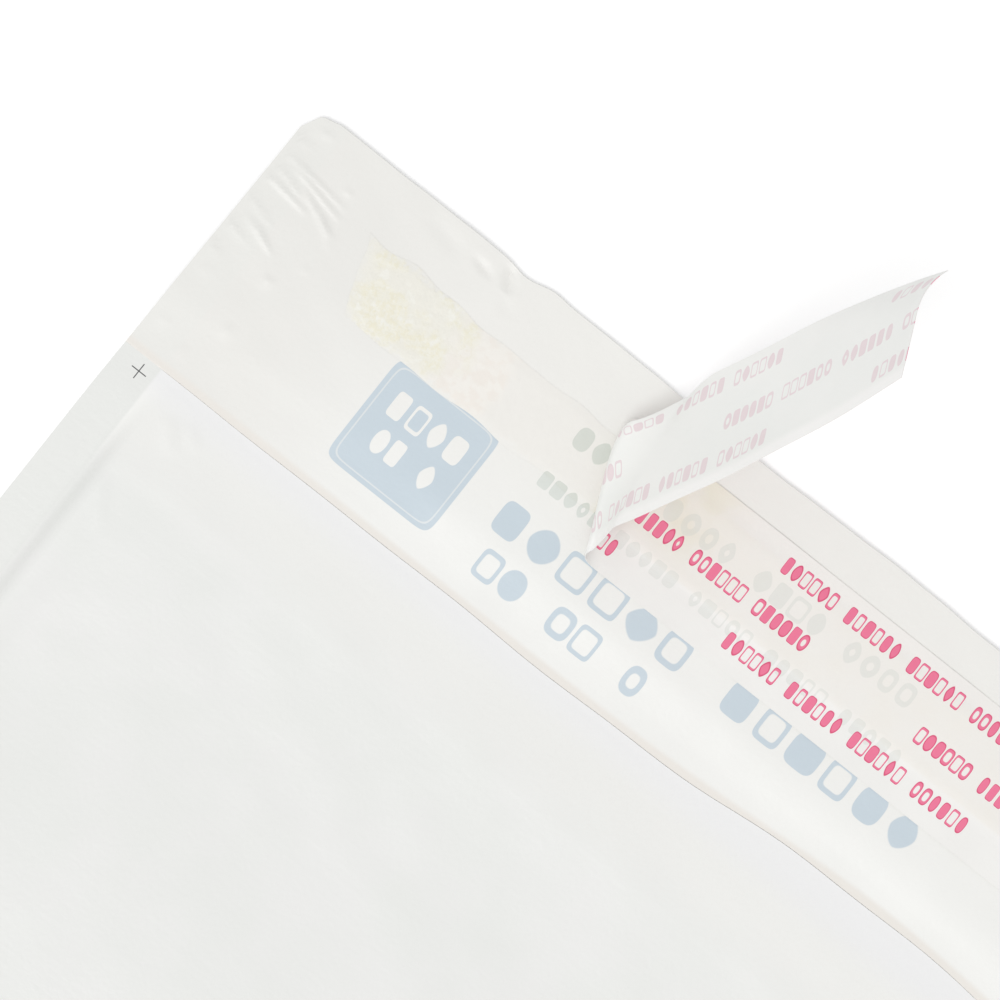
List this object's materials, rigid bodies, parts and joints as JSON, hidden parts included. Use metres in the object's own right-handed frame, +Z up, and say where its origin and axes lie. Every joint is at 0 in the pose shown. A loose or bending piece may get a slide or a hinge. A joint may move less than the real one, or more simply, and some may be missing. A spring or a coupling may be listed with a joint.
{
  "type": "bubble mailer",
  "caption": "Padded poly mailer with a bubble lining, lying open on its back with its flap out flat and the release liner partly peeled from the adhesive strip.",
  "frame": {"origin": "middle of the back panel's underside, on which the mailer rests", "axes": "+X across the width, +Y from the bottom fold towards the flap, +Z up out of the front panel"},
  "size_m": [0.235, 0.3937, 0.0777],
  "materials": {
    "outer_film": "white film, slightly glossy, softly creased",
    "bubble_lining": "thin clear bubble film, cloudy in layers",
    "adhesive_strip": "tacky pale yellow adhesive with a grainy face",
    "release_liner": "thin whitish release film with plain red marks"
  },
  "bodies": {
    "root": {"outer_film": "outer_film", "bubble_lining": "bubble_lining", "adhesive_strip": "adhesive_strip", "release_liner": "release_liner"}
  },
  "joints": []
}
